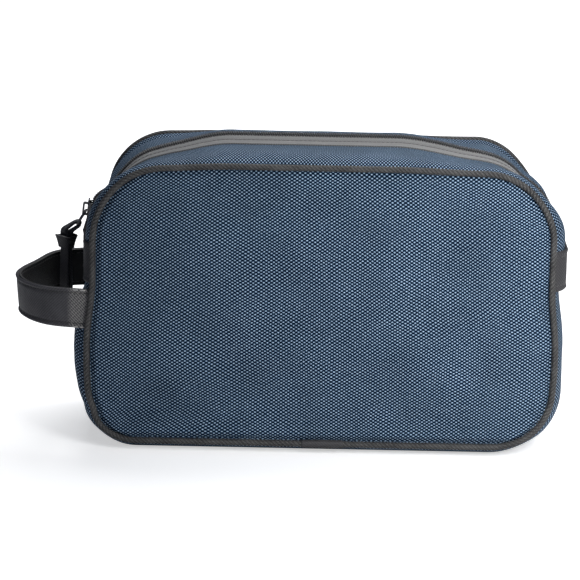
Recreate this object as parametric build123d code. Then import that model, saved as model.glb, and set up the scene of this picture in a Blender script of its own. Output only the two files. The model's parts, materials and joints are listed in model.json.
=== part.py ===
from build123d import *

import math
import os

# Shaving kit bag: two rounded panels joined by a gusset, with a zip over the top
# that runs part of the way down both ends, and a carry handle on the left end.
# Millimetres. X runs along the bag, the front panel faces -Y, +Z is up, and the
# origin is the middle of the flat base.

# ---- driving dimensions ----
PANEL_WIDTH = 250.0  # the panels, seam to seam
PANEL_HEIGHT = 155.0
TOP_RADIUS = 38.0  # the seam's corners
BOTTOM_RADIUS = 30.0
SEAM_Y = 54.0  # each panel's seam, from the middle of the bag
BULGE = 6.5  # the gusset stands this far outside the seam
SHOULDER_RADIUS = 14.0  # the gusset's curve from its flat middle down to the seam

FABRIC = 1.2
FOAM = 1.5
LINING = 0.6

PIPING_RADIUS = 1.75
PIPING_GAP = 2.1  # from the piping's centre to the panel's edge
SPLICE_START, SPLICE_END = -10.0, 13.0  # the sleeve over the piping's join, along X
SPLICE_WALL = 0.5

GUSSET_TOP = 112.0  # the lower gusset meets the top strips here, under the patches
PATCH_BOTTOM, PATCH_TOP = 95.0, 117.6
PATCH_THICKNESS = 1.3

STRIP_EDGE = 14.3  # the top strips' edge beside the zip tape
LIP_HALF_LENGTH = 80.0  # the straight run of the zip that opens as two lips
LIP_FOLD_Y = 46.0  # the line on each shoulder that its lip folds along
LIP_CLEARANCE = 0.3

ZIP_HALF_WIDTH = 129.0  # the zip's own path, sunk a little between the strips
ZIP_TOP = 166.8
ZIP_RADIUS = 46.0
TAPE_INNER, TAPE_OUTER = 0.8, 14.0
TAPE_THICKNESS = 0.75
COIL_INNER, COIL_OUTER, COIL_HEIGHT = 0.7, 3.0, 1.8

SLIDER_ANGLE = 85.0  # where the slider rests, in degrees round the corner from the top
SLIDER_LENGTH = 11.0
WIRE_RADIUS = 0.6
PULLER_LENGTH, PULLER_WIDTH = 9.0, 7.4
PULLER_LEAN = 32.0  # the puller stands off the bag by this angle from straight down

COLLAR_TOP, COLLAR_BOTTOM = 110.6, 102.6
TAIL_END = 78.0
PULL_OFFSET = 6.2  # the leather hangs this far outside the puller's bar
LEATHER = 3.4  # the folded strip, two layers thick
TAIL_WIDTH = 7.4
TAIL_TWIST = 42.0  # the tail's turn about the vertical

STRAP_WIDTH = 22.2
STRAP_MIDDLE = 80.3  # height of the handle's middle
STRAP_OUTER_LAYER, STRAP_INNER_LAYER = 1.3, 1.1
HANDLE_TIP = (45.0, -21.0)  # the handle's furthest point: (out from the seam, Y)
HANDLE_REAR = ((37.5, 20.0), (26.0, 45.0))  # points on its rear run
HANDLE_FOLD_START, HANDLE_FOLD_END = 134.0, 141.0  # where the strap bends, along X
HANDLE_STEPS = 14

# ---- worked out ----
HALF = PANEL_WIDTH / 2
SEAM_BOTTOM = BULGE
SEAM_TOP = SEAM_BOTTOM + PANEL_HEIGHT
SHOULDER_Y = SEAM_Y - SHOULDER_RADIUS
SHOULDER_N = BULGE - SHOULDER_RADIUS
SHOULDER_SWEEP = math.degrees(math.asin((SEAM_Y - 1.5 - SHOULDER_Y) / SHOULDER_RADIUS))
PATCH_SWEEP = 55.0
ZIP_CORNER = (-ZIP_HALF_WIDTH + ZIP_RADIUS, ZIP_TOP - ZIP_RADIUS)
UP, LEFT = (0, 1), (-1, 0)
RUN_HEIGHT = 30.0  # the lip window cuts this tall, centred on the zip's top


# ---- sweeping a cross-section round the bag ----
# A cross-section is drawn as (y, n), where n is the distance outside the path. Paths
# run clockwise, as seen from the front, so the section's second axis points outwards.
def swept(section, path):
    start, direction = path @ 0, path % 0
    return sweep(Plane(origin=start, x_dir=(0, 1, 0), z_dir=direction) * section, path=path)


def in_elevation(*curves):
    return Plane.XZ * Wire([edge for curve in curves for edge in curve.edges()])


def ring(section):
    """The section all the way round the seam, from the middle of the base."""
    x, z = HALF - TOP_RADIUS, SEAM_TOP - TOP_RADIUS
    bx, bz = HALF - BOTTOM_RADIUS, SEAM_BOTTOM + BOTTOM_RADIUS
    path = in_elevation(
        Line((0, SEAM_BOTTOM), (-bx, SEAM_BOTTOM)),
        CenterArc((-bx, bz), BOTTOM_RADIUS, 270, -90),
        Line((-HALF, bz), (-HALF, z)),
        CenterArc((-x, z), TOP_RADIUS, 180, -90),
        Line((-x, SEAM_TOP), (x, SEAM_TOP)),
        CenterArc((x, z), TOP_RADIUS, 90, -90),
        Line((HALF, z), (HALF, bz)),
        CenterArc((bx, bz), BOTTOM_RADIUS, 0, -90),
        Line((bx, SEAM_BOTTOM), (0, SEAM_BOTTOM)),
    )
    return swept(section, path)


def lower_run(section):
    """The section from the right patch down, along the base and up to the left patch."""
    bx, bz = HALF - BOTTOM_RADIUS, SEAM_BOTTOM + BOTTOM_RADIUS
    path = in_elevation(
        Line((HALF, GUSSET_TOP), (HALF, bz)),
        CenterArc((bx, bz), BOTTOM_RADIUS, 0, -90),
        Line((bx, SEAM_BOTTOM), (-bx, SEAM_BOTTOM)),
        CenterArc((-bx, bz), BOTTOM_RADIUS, 270, -90),
        Line((-HALF, bz), (-HALF, GUSSET_TOP)),
    )
    return swept(section, path)


def top_run(section, half_width, top, radius, foot):
    """The section from the left patch up, along the top and down to the right patch."""
    x, z = half_width - radius, top - radius
    path = in_elevation(
        Line((-half_width, foot), (-half_width, z)),
        CenterArc((-x, z), radius, 180, -90),
        Line((-x, top), (x, top)),
        CenterArc((x, z), radius, 90, -90),
        Line((half_width, z), (half_width, foot)),
    )
    return swept(section, path)


def straight(section, point, direction, length):
    """The section along a straight run, from point (x, z) in a direction (x, z)."""
    plane = Plane(
        origin=(point[0], 0, point[1]), x_dir=(0, 1, 0), z_dir=(direction[0], 0, direction[1])
    )
    return extrude(plane * section, amount=length)


def lip_window(clearance):
    """The block that bounds the front lip, grown by a clearance."""
    length, depth = 2 * (LIP_HALF_LENGTH + clearance), LIP_FOLD_Y + clearance
    return Pos(0, -depth / 2, ZIP_TOP) * Box(length, depth, RUN_HEIGHT)


def fixed_and_lip(run):
    """A front top run split into the part sewn in place and the lip that folds up."""
    fixed = run - lip_window(LIP_CLEARANCE)
    return Compound(children=list(fixed.solids())), (run & lip_window(-LIP_CLEARANCE)).solid()


# ---- cross-sections ----
def shoulder_arcs(outer, inner, sweep, side):
    """The outer and inner arcs of one shoulder, and the line that closes its seam edge."""
    centre = (side * SHOULDER_Y, SHOULDER_N)
    turn = -side * sweep
    arcs = [CenterArc(centre, radius, 90, turn) for radius in (outer, inner)]
    return arcs + [Line(arcs[0] @ 1, arcs[1] @ 1)]


def whole_section(depth, thickness, sweep=SHOULDER_SWEEP):
    """A layer of the gusset from seam to seam, depth below its outer face."""
    outer = SHOULDER_RADIUS - depth
    inner = outer - thickness
    edges = shoulder_arcs(outer, inner, sweep, -1) + shoulder_arcs(outer, inner, sweep, 1)
    for radius in (outer, inner):
        n = SHOULDER_N + radius
        edges.append(Line((-SHOULDER_Y, n), (SHOULDER_Y, n)))
    return make_face(edges)


def strip_section(depth, thickness):
    """A layer of the front top strip, from the seam to the zip tape."""
    outer = SHOULDER_RADIUS - depth
    inner = outer - thickness
    edges = shoulder_arcs(outer, inner, SHOULDER_SWEEP, -1)
    high, low = SHOULDER_N + outer, SHOULDER_N + inner
    edges += [
        Line((-SHOULDER_Y, high), (-STRIP_EDGE, high)),
        Line((-STRIP_EDGE, high), (-STRIP_EDGE, low)),
        Line((-SHOULDER_Y, low), (-STRIP_EDGE, low)),
    ]
    return make_face(edges)


def block_section(y_low, y_high, n_low, n_high):
    middle = ((y_low + y_high) / 2, (n_low + n_high) / 2)
    return Pos(*middle) * Rectangle(y_high - y_low, n_high - n_low)


# ---- panels ----
def panel(outer_y, thickness):
    """One layer of the front panel: a flat sheet inside the piping."""
    width = PANEL_WIDTH - 2 * PIPING_GAP
    height = PANEL_HEIGHT - 2 * PIPING_GAP
    block = Box(width, thickness, height)
    along_y = block.edges().filter_by(Axis.Y)
    top = along_y.group_by(Axis.Z)[-1]
    block = fillet(top, TOP_RADIUS - PIPING_GAP)
    along_y = block.edges().filter_by(Axis.Y).group_by(Axis.Z)[0]
    block = fillet(along_y, BOTTOM_RADIUS - PIPING_GAP)
    middle = SEAM_BOTTOM + PANEL_HEIGHT / 2
    return Pos(0, -outer_y + thickness / 2, middle) * block


def panels():
    outer = SEAM_Y + 0.6
    foam = outer - FABRIC
    lining = foam - FOAM
    return {
        "panel": panel(outer, FABRIC),
        "foam": panel(foam, FOAM),
        "lining": panel(lining, LINING),
    }


# ---- trim that follows the seam ----
def piping():
    return ring(Pos(-SEAM_Y, 0) * Circle(PIPING_RADIUS))


def piping_splice():
    """A half sleeve on the piping's outer face, over its join."""
    bore = PIPING_RADIUS + 0.05
    reach = bore + SPLICE_WALL
    outer_face = Pos(-reach / 2 + 0.3, reach / 2 - 1.2) * Rectangle(reach, reach)
    section = Pos(-SEAM_Y, 0) * ((Circle(reach) - Circle(bore)) & outer_face)
    return straight(section, (SPLICE_END, SEAM_BOTTOM), LEFT, SPLICE_END - SPLICE_START)


def seam_binding():
    """The tape that binds the seam's raw edges inside the bag."""
    return ring(block_section(-SEAM_Y + 2.9, -SEAM_Y + 4.3, -8.0, -3.2))


def patch():
    """The left end patch, over the foot of the zip."""
    section = whole_section(-PATCH_THICKNESS - 0.05, PATCH_THICKNESS, PATCH_SWEEP)
    return straight(section, (-HALF, PATCH_BOTTOM), UP, PATCH_TOP - PATCH_BOTTOM)


# ---- zip ----
def tape_section():
    return block_section(-TAPE_OUTER, -TAPE_INNER, -TAPE_THICKNESS - 0.05, -0.05)


def coil_section():
    """The outer shape of one coil: a flat foot and a rounded back."""
    block = block_section(-COIL_OUTER, -COIL_INNER, 0, COIL_HEIGHT)
    return fillet(block.vertices().group_by(Axis.Y)[-1], 0.8)


def zip_stops():
    """One metal stop on each coil at both ends of the zip."""
    foot = GUSSET_TOP + 2.0
    section = block_section(-COIL_OUTER - 0.3, -COIL_INNER + 0.2, COIL_HEIGHT + 0.1, COIL_HEIGHT + 0.7)
    one = straight(section, (-ZIP_HALF_WIDTH, foot), UP, 2.4)
    other = mirror(one, about=Plane.XZ)
    pair = [one, other, mirror(one, about=Plane.YZ), mirror(other, about=Plane.YZ)]
    return Compound(children=[stop.solid() for stop in pair])


# ---- slider, puller and leather pull ----
def on_zip(angle, outward=0.0, along=0.0):
    """A point by the left corner of the zip. angle is from the top, along is towards it."""
    a = math.radians(angle)
    radius = ZIP_RADIUS + outward
    x = ZIP_CORNER[0] - radius * math.sin(a) + along * math.cos(a)
    z = ZIP_CORNER[1] + radius * math.cos(a) + along * math.sin(a)
    return (x, z)


def slider_frame(outward=0.0):
    """A plane over the zip at the slider, with X along the zip towards the top."""
    a = math.radians(SLIDER_ANGLE)
    x, z = on_zip(SLIDER_ANGLE, outward)
    return Plane(
        origin=(x, 0, z),
        x_dir=(math.cos(a), 0, math.sin(a)),
        z_dir=(-math.sin(a), 0, math.cos(a)),
    )


PLATE_LOW = -TAPE_THICKNESS - 0.65  # the slider's plates clear the tape and the coils
PLATE_HIGH = COIL_HEIGHT + 0.45
PLATE = 0.8
BRIDGE_HEIGHT = 2.3
PIVOT_ALONG = -1.4  # the puller's pivot in the bridge
PIVOT_OUT = PLATE_HIGH + PLATE + 0.85
PIVOT_X, PIVOT_Z = on_zip(SLIDER_ANGLE, PIVOT_OUT, PIVOT_ALONG)
BAR_X = PIVOT_X - PULLER_LENGTH * math.sin(math.radians(PULLER_LEAN))
BAR_Z = PIVOT_Z - PULLER_LENGTH * math.cos(math.radians(PULLER_LEAN))
PULL_X = BAR_X - PULL_OFFSET


def slider_outline():
    nose, tail = SLIDER_LENGTH / 2, -SLIDER_LENGTH / 2
    shape = make_face(
        Polyline(
            (nose, 2.6), (nose - 2.6, 4.4), (-0.5, 4.4), (tail + 1, 3.5), (tail, 2.6),
            (tail, -2.6), (tail + 1, -3.5), (-0.5, -4.4), (nose - 2.6, -4.4), (nose, -2.6),
            close=True,
        )
    )
    return fillet(shape.vertices(), 0.7)


def slider():
    outline = slider_outline()
    top = extrude(slider_frame(PLATE_HIGH) * outline, amount=PLATE)
    bottom = extrude(slider_frame(PLATE_LOW - PLATE) * outline, amount=PLATE)
    post = extrude(slider_frame(PLATE_LOW) * Rectangle(3.0, 0.7), amount=PLATE_HIGH - PLATE_LOW)
    flange = Pos(0.4, 0) * (Rectangle(7.0, 8.4) - Rectangle(9.0, 7.2))
    flanges = extrude(slider_frame(PLATE_HIGH - 1.1) * flange, amount=1.1)
    body = top + bottom + post + flanges
    side = slider_frame(PLATE_HIGH + PLATE)
    arch = Plane(origin=side.origin, x_dir=side.x_dir, z_dir=(0, -1, 0))
    outer = Pos(-0.3, BRIDGE_HEIGHT / 2) * RectangleRounded(7.4, BRIDGE_HEIGHT + 1.2, 1.1)
    hole = Pos(-0.3, 0.75) * RectangleRounded(5.4, 2.1, 0.6)
    below = Pos(0, -2.0) * Rectangle(20, 4.0)
    bridge = extrude(arch * (outer - hole - below), amount=1.2, both=True)
    return body + bridge


def puller():
    """The wire loop that hangs in the slider's bridge."""
    lean = math.radians(PULLER_LEAN)
    frame = Plane(
        origin=(PIVOT_X, 0, PIVOT_Z),
        x_dir=(-math.sin(lean), 0, -math.cos(lean)),
        z_dir=(-math.cos(lean), 0, math.sin(lean)),
    )
    path = frame * Pos(PULLER_LENGTH / 2, 0) * RectangleRounded(PULLER_LENGTH, PULLER_WIDTH, 2.2)
    path = path.wire()
    return sweep(Plane(origin=path @ 0, z_dir=path % 0) * Circle(WIRE_RADIUS), path=path)


def pull_strap():
    """The leather strip: looped over the puller's bar, folded over and hanging down."""
    side = Plane(origin=(0, 0, 0), x_dir=(1, 0, 0), z_dir=(0, -1, 0))
    hole = Pos(BAR_X, BAR_Z) * Circle(WIRE_RADIUS + 0.35)
    left, right = PULL_X - LEATHER / 2, PULL_X + LEATHER / 2
    fold = make_face(
        Polyline(
            (BAR_X - 0.6, BAR_Z + 2.3), (left + 0.9, BAR_Z - 2.2), (left, BAR_Z - 3.6),
            (left, COLLAR_TOP - 1), (right, COLLAR_TOP - 1), (right, BAR_Z - 4.6),
            (BAR_X, BAR_Z - 2.4),
            close=True,
        )
    )
    loop = extrude(side * (fold + Pos(BAR_X, BAR_Z) * Circle(2.4) - hole), amount=2.6, both=True)
    height = COLLAR_TOP - 1 - TAIL_END
    tail = Pos(PULL_X, 0, TAIL_END + height / 2) * Rot(0, 0, TAIL_TWIST)
    return loop + tail * Box(LEATHER, TAIL_WIDTH, height)


def pull_collar():
    """The flared keeper wrapped round the folded strip."""
    clear_x, clear_y = LEATHER + 0.3, TAIL_WIDTH + 0.3
    low = Pos(0, 0, COLLAR_BOTTOM) * Rectangle(clear_x + 2.2, clear_y + 1.4)
    high = Pos(0, 0, COLLAR_TOP - 1.2) * Rectangle(clear_x + 5.4, clear_y + 3.4)
    hole = Pos(0, 0, COLLAR_BOTTOM) * Box(clear_x, clear_y, 2 * (COLLAR_TOP - COLLAR_BOTTOM))
    return Pos(PULL_X, 0, 0) * Rot(0, 0, TAIL_TWIST) * (loft([low, high]) - hole)


# ---- handle ----
def handle_face(depth):
    """The plan of the handle, from the front seam to the rear, depth inside its outer face."""
    front, rear = (-HALF - 2.3, -SEAM_Y + 0.9), (-HALF - 2.3, SEAM_Y - 0.6)
    tip = (-HALF - HANDLE_TIP[0], HANDLE_TIP[1])
    run = [(-HALF - out, y) for out, y in HANDLE_REAR]
    outer = Spline(front, tip, *run, rear, tangents=[(-1, 0.22), (1, 0.2)])
    points = []
    for step in range(HANDLE_STEPS + 1):
        along = step / HANDLE_STEPS
        direction = outer % along
        points.append(outer @ along + Vector(direction.Y, -direction.X) * depth)
    return Spline(*points)


def strap_layer(depth, thickness, x_near, x_far):
    """A layer of the handle, depth inside its outer face, between two distances along X."""
    outer, inner = handle_face(depth), handle_face(depth + thickness)
    band = make_face([outer, inner, Line(outer @ 0, inner @ 0), Line(outer @ 1, inner @ 1)])
    keep = Pos(-(x_near + x_far) / 2, 0) * Rectangle(x_far - x_near, 4 * SEAM_Y)
    return extrude(Pos(0, 0, STRAP_MIDDLE - STRAP_WIDTH / 2) * (band & keep), amount=STRAP_WIDTH)


def handle_ends():
    """The two sewn ends, which stay with the bag."""
    near = HALF + PIPING_RADIUS + 0.3
    both = strap_layer(0, STRAP_OUTER_LAYER + STRAP_INNER_LAYER, near, HANDLE_FOLD_START)
    return sorted(both.solids(), key=lambda solid: solid.center().Y)


# ---- all the nodes ----
def nodes():
    made = {}
    for name, solid in panels().items():
        made["front_" + name] = solid
        made["back_" + name] = mirror(solid, about=Plane.XZ)

    foam_depth, lining_depth = FABRIC, FABRIC + FOAM
    made["lower_gusset"] = lower_run(whole_section(0, FABRIC))
    made["gusset_foam"] = lower_run(whole_section(foam_depth, FOAM))
    made["gusset_lining"] = lower_run(whole_section(lining_depth, LINING))

    shell = (HALF, SEAM_TOP, TOP_RADIUS, GUSSET_TOP + 0.1)
    zip_path = (ZIP_HALF_WIDTH, ZIP_TOP, ZIP_RADIUS, GUSSET_TOP + 0.5)
    top_layers = {
        "strip": top_run(strip_section(0, FABRIC), *shell),
        "strip_lining": top_run(strip_section(FABRIC, LINING), *shell),
        "zip_tape": top_run(tape_section(), *zip_path),
        "zip_coil": top_run(coil_section(), *zip_path),
    }
    for name, run in top_layers.items():
        fixed, lip = fixed_and_lip(run)
        made[f"front_{name}"], made[f"front_{name}_lip"] = fixed, lip
        made[f"rear_{name}"] = mirror(fixed, about=Plane.XZ)
        made[f"rear_{name}_lip"] = mirror(lip, about=Plane.XZ)

    for name, solid in (("piping", piping()), ("piping_splice", piping_splice())):
        made["front_" + name] = solid
        made["rear_" + name] = mirror(solid, about=Plane.XZ)
    binding = seam_binding()
    made["front_seam_binding"] = binding
    made["rear_seam_binding"] = mirror(binding, about=Plane.XZ)

    made["left_end_patch"] = patch()
    made["right_end_patch"] = mirror(patch(), about=Plane.YZ)
    made["zip_end_stops"] = zip_stops()

    made["slider"] = slider()
    made["puller_loop"] = puller()
    made["pull_strap"] = pull_strap()
    made["pull_collar"] = pull_collar()

    far = HALF + HANDLE_TIP[0] + 5
    made["handle_strap"] = strap_layer(0, STRAP_OUTER_LAYER, HANDLE_FOLD_END, far)
    made["handle_backing"] = strap_layer(
        STRAP_OUTER_LAYER, STRAP_INNER_LAYER, HANDLE_FOLD_END, far
    )
    made["handle_end_front"], made["handle_end_rear"] = handle_ends()
    return made


os.makedirs("parts", exist_ok=True)
for node_name, node_shape in nodes().items():
    export_step(node_shape, f"parts/{node_name}.step")
fold_z = SEAM_TOP + SHOULDER_N + math.sqrt(SHOULDER_RADIUS**2 - (LIP_FOLD_Y - SHOULDER_Y) ** 2)
print(f"zip corner {ZIP_CORNER}, puller pivot {PIVOT_X:.2f} {PIVOT_Z:.2f}")
print(f"pull pivot {BAR_X:.2f} {BAR_Z:.2f}, lip fold {LIP_FOLD_Y} {fold_z:.2f}")
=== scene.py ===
import json
import math

import bpy
import numpy as np
from mathutils import Matrix, Vector, noise


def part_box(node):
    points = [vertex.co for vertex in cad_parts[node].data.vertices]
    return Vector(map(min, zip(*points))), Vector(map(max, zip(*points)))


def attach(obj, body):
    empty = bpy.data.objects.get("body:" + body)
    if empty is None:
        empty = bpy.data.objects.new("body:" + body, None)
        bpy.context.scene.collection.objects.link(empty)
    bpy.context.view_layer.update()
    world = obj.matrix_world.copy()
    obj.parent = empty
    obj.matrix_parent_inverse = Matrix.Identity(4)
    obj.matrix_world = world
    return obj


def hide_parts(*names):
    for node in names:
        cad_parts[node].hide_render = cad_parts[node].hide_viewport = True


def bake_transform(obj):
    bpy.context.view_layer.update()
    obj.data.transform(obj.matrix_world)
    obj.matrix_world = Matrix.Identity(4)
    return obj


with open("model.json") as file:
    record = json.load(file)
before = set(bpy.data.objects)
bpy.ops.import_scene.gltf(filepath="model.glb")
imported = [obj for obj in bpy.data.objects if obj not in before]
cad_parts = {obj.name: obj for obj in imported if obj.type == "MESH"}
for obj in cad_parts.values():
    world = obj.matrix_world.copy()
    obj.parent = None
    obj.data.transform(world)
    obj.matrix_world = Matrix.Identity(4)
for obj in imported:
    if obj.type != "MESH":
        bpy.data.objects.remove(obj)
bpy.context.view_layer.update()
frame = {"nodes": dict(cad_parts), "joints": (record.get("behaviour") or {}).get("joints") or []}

# A shaving kit bag in navy ballistic cloth. Every soft piece is built here as real
# cloth, leather or tape; the slider, the puller and the zip's stops are the CAD's own.
# Lengths are in millimetres until make_mesh() turns them into metres.

MM = 0.001


def box_mm(node):
    low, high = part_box(node)
    return [1000 * c for c in low], [1000 * c for c in high]


# ---- the bag's sizes, from the frame ----
PIPE_R = 1.75
low, high = box_mm("front_piping")
HALF = high[0] - PIPE_R
SEAM_BOTTOM, SEAM_TOP = low[2] + PIPE_R, high[2] - PIPE_R
SEAM_Y = -(low[1] + PIPE_R)
TOP_R, BOTTOM_R = 38.0, 30.0
low, high = box_mm("lower_gusset")
GUSSET_TOP = high[2]
BULGE = high[0] - HALF
SHOULDER_R = 14.0
FLAT_Y = SEAM_Y - SHOULDER_R
low, high = box_mm("front_zip_coil")
ZIP_HALF, ZIP_TOP, ZIP_R = high[0] - 1.8, high[2] - 1.8, 46.0
TAPE_OUTER = -box_mm("front_zip_tape")[0][1]
PATCH_LOW, PATCH_HIGH = (box_mm("left_end_patch")[i][2] for i in (0, 1))
FOLD_Y = -box_mm("front_strip_lip")[0][1] + 0.3
CLOTH, FOAM, LINING = 1.2, 1.5, 0.6


# ---- outlines in the front view ----
class Outline:
    """A rounded outline, clockwise from the middle of the base, as (x, z)."""

    def __init__(self, half, bottom, top, top_r, bottom_r):
        b, t = bottom + bottom_r, top - top_r
        xb, xt = half - bottom_r, half - top_r
        self.parts = [
            ("line", (0, bottom), (-xb, bottom)),
            ("arc", (-xb, b), bottom_r, 270),
            ("line", (-half, b), (-half, t)),
            ("arc", (-xt, t), top_r, 180),
            ("line", (-xt, top), (xt, top)),
            ("arc", (xt, t), top_r, 90),
            ("line", (half, t), (half, b)),
            ("arc", (xb, b), bottom_r, 0),
            ("line", (xb, bottom), (0, bottom)),
        ]
        self.lengths = []
        for part in self.parts:
            if part[0] == "line":
                self.lengths.append(math.dist(part[1], part[2]))
            else:
                self.lengths.append(part[2] * math.pi / 2)
        self.total = sum(self.lengths)

    def part_at(self, index, f):
        """(x, z) and the outward normal at a fraction of one part."""
        part = self.parts[index]
        if part[0] == "line":
            (x0, z0), (x1, z1) = part[1], part[2]
            dx, dz = x1 - x0, z1 - z0
            size = math.hypot(dx, dz) or 1
            return (x0 + dx * f, z0 + dz * f), (-dz / size, dx / size)
        a = math.radians(part[3] - 90 * f)
        n = (math.cos(a), math.sin(a))
        return (part[1][0] + part[2] * n[0], part[1][1] + part[2] * n[1]), n

    def at(self, s):
        s %= self.total
        for index, length in enumerate(self.lengths):
            if s <= length or index == len(self.parts) - 1:
                return self.part_at(index, min(s / length, 1))
            s -= length

    def start_of(self, index):
        return sum(self.lengths[:index])


SEAM = Outline(HALF, SEAM_BOTTOM, SEAM_TOP, TOP_R, BOTTOM_R)
ZIP = Outline(ZIP_HALF, 0, ZIP_TOP, ZIP_R, BOTTOM_R)


def smooth(x, a, b):
    t = min(max((x - a) / (b - a), 0), 1)
    return t * t * (3 - 2 * t)


def wobble(p, size, seed):
    return noise.noise(Vector((p[0] / size, p[1] / size + seed, p[2] / size)))


REAR_SAG = 3.0  # the rear of the top sinks behind the zip
REAR_SLACK = 2.8  # the rear of the end without a handle is slack
FRONT_LEAN = 2.2  # the front seam is pulled towards the handle
FOOT_LEAN_LEFT, FOOT_LEAN_RIGHT = 5.2, 2.4  # the foot leans the same way
SPREAD, FOOT_SPREAD = 3.0, 1.2  # the ends stand out below the handle
SLUMP = 6.8  # the top's corners sink this far inside their even outline
FRONT_SLUMP, REAR_SLUMP = (1.8, 1.4), 3.2  # and this far at the two seams
# where the slump starts, is full, fades and ends, along the zip from each corner's start
SLUMP_LEFT, SLUMP_RIGHT = (-32.0, 12.0, 50.0, 63.5), (-44.0, 8.0, 32.0, 64.0)


def corner_slump(x, y, z):
    """How the soft top corners sink in, as (dx, dz), most at the zip and the rear."""
    cx, cz = ZIP_HALF - ZIP_R, ZIP_TOP - ZIP_R
    out, up = max(abs(x) - cx, 0.0), max(z - cz, 0.0)
    reach = math.hypot(out, up)
    if reach < 1e-6:
        return 0.0, 0.0
    angle = math.atan2(out, up)
    along = ZIP_R * angle if abs(x) > cx else abs(x) - cx
    start, full, fade, end = SLUMP_LEFT if x < 0 else SLUMP_RIGHT
    # the zip itself has to meet the slider and the patches
    beside = (20 if x < 0 else 8) * smooth(abs(y), 9, 28)
    amount = smooth(along, start, full) * (1 - smooth(along, fade + beside, end + beside))
    front = FRONT_SLUMP[0] if x < 0 else FRONT_SLUMP[1]
    depth = front + (SLUMP - front) * smooth(y, -SEAM_Y, -32) + 1.6 * smooth(y, 0, 45)
    depth += (REAR_SLUMP - depth) * smooth(y, 46, SEAM_Y)
    amount *= depth * smooth(reach, 10, 41)
    return -math.copysign(amount * math.sin(angle), x), -amount * math.cos(angle)


def settle(p):
    """The stuffed bag's own shape: its ends spread, its top sinks and its foot leans."""
    x, y, z = p
    spread = SPREAD * smooth(z, 4, 52) * (1 - smooth(z, 60, 98))
    spread += FOOT_SPREAD * (1 - smooth(z, 4, 40))
    sag = smooth(y, -8, 36) * smooth(z, 120, 158) * (1 - smooth(abs(x), 42, 98))
    dx, dz = corner_slump(x, y, z)
    if x > 0:
        dx -= REAR_SLACK * smooth(x, 60, 120) * smooth(y, -25, 25) * smooth(z, 70, 112)
        lean = FOOT_LEAN_RIGHT * (1 - smooth(z, 2, 14))
    else:
        lean = max(FOOT_LEAN_LEFT * (1 - smooth(z, 12, 35)),
                   FRONT_LEAN * smooth(-y, 20, 48) * (1 - smooth(z, 116, 152)))
    dx -= lean * smooth(abs(x), 20, 90)
    return (x * (1 + spread / HALF) + dx, y, z - REAR_SAG * sag + dz)


# ---- meshes ----
def make_mesh(name, points, faces, uvs=None, sharp=None):
    mesh = bpy.data.meshes.new(name)
    mesh.from_pydata([[c * MM for c in p] for p in points], [], faces)
    mesh.polygons.foreach_set("use_smooth", [True] * len(mesh.polygons))
    if uvs is not None:
        layer = mesh.uv_layers.new(name="UVMap")
        loops = np.zeros(len(mesh.loops), dtype=np.int64)
        mesh.loops.foreach_get("vertex_index", loops)
        layer.data.foreach_set("uv", np.asarray(uvs, dtype=np.float32)[loops].ravel())
    if sharp:
        attribute = mesh.attributes.new("sharp_edge", "BOOLEAN", "EDGE")
        wanted = {frozenset(e) for e in sharp}
        attribute.data.foreach_set(
            "value", [frozenset(e.vertices) in wanted for e in mesh.edges]
        )
    obj = bpy.data.objects.new(name, mesh)
    bpy.context.scene.collection.objects.link(obj)
    return obj


def normals_of(grid, closed_u=False):
    """Unit normals of a grid of points, from its neighbours."""
    g = np.asarray(grid, dtype=float)
    if closed_u:
        du = np.roll(g, -1, 0) - np.roll(g, 1, 0)
    else:
        du = np.gradient(g, axis=0)
    dv = np.gradient(g, axis=1)
    n = np.cross(du, dv)
    return n / np.maximum(np.linalg.norm(n, axis=2, keepdims=True), 1e-9)


def layer(name, grid, uv, depth, thickness, flip=False, closed_u=False, edge=0.0):
    """A sheet of one thickness, depth below the grid's outer face. edge rolls its rims in."""
    g = np.asarray(grid, dtype=float)
    n = normals_of(g, closed_u) * (-1 if flip else 1)
    nu, nv = g.shape[:2]
    outer, inner = g - n * depth, g - n * (depth + thickness)
    if edge:
        ramp = np.ones(nv)
        ramp[0] = ramp[-1] = 0
        outer -= n * (edge * (1 - ramp))[None, :, None]
    points = np.concatenate([outer.reshape(-1, 3), inner.reshape(-1, 3)])
    uvs = np.concatenate([np.asarray(uv).reshape(-1, 2)] * 2)
    half = nu * nv
    faces, sharp = [], []
    rows = nu if closed_u else nu - 1
    for i in range(rows):
        j = (i + 1) % nu
        for k in range(nv - 1):
            a, b, c, d = i * nv + k, j * nv + k, j * nv + k + 1, i * nv + k + 1
            quad = (a, b, c, d) if not flip else (d, c, b, a)
            faces.append(quad)
            faces.append(tuple(half + q for q in reversed(quad)))
    rim = []
    for i in range(rows):
        j = (i + 1) % nu
        rim.append((i * nv, j * nv, False))
        rim.append((i * nv + nv - 1, j * nv + nv - 1, True))
    if not closed_u:
        for k in range(nv - 1):
            rim.append((k, k + 1, True))
            rim.append(((nu - 1) * nv + k, (nu - 1) * nv + k + 1, False))
    for a, b, turn in rim:
        quad = (b, a, a + half, b + half) if turn == flip else (a, b, b + half, a + half)
        faces.append(quad)
        sharp += [(a, b), (a + half, b + half)]
    return make_mesh(name, points, faces, uvs, sharp)


def run_lengths(points):
    """The length along points at each of them."""
    steps = np.linalg.norm(np.diff(np.asarray(points, dtype=float), axis=0), axis=1)
    return np.concatenate([[0], np.cumsum(steps)])


def interpolate(at, along, values):
    """Rows of values, known at along, read at other lengths."""
    values = np.asarray(values, dtype=float)
    return np.stack([np.interp(at, along, values[:, i]) for i in range(3)], axis=1)


def tube_faces(base, rings, around):
    """The faces of a tube of vertex rings that starts at vertex base, both ends closed."""
    faces = []
    for i in range(rings - 1):
        a = base + i * around
        for k in range(around):
            q = (k + 1) % around
            faces.append((a + k, a + q, a + around + q, a + around + k))
    last = base + (rings - 1) * around
    faces.append(tuple(base + k for k in range(around))[::-1])
    faces.append(tuple(last + k for k in range(around)))
    return faces


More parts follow.
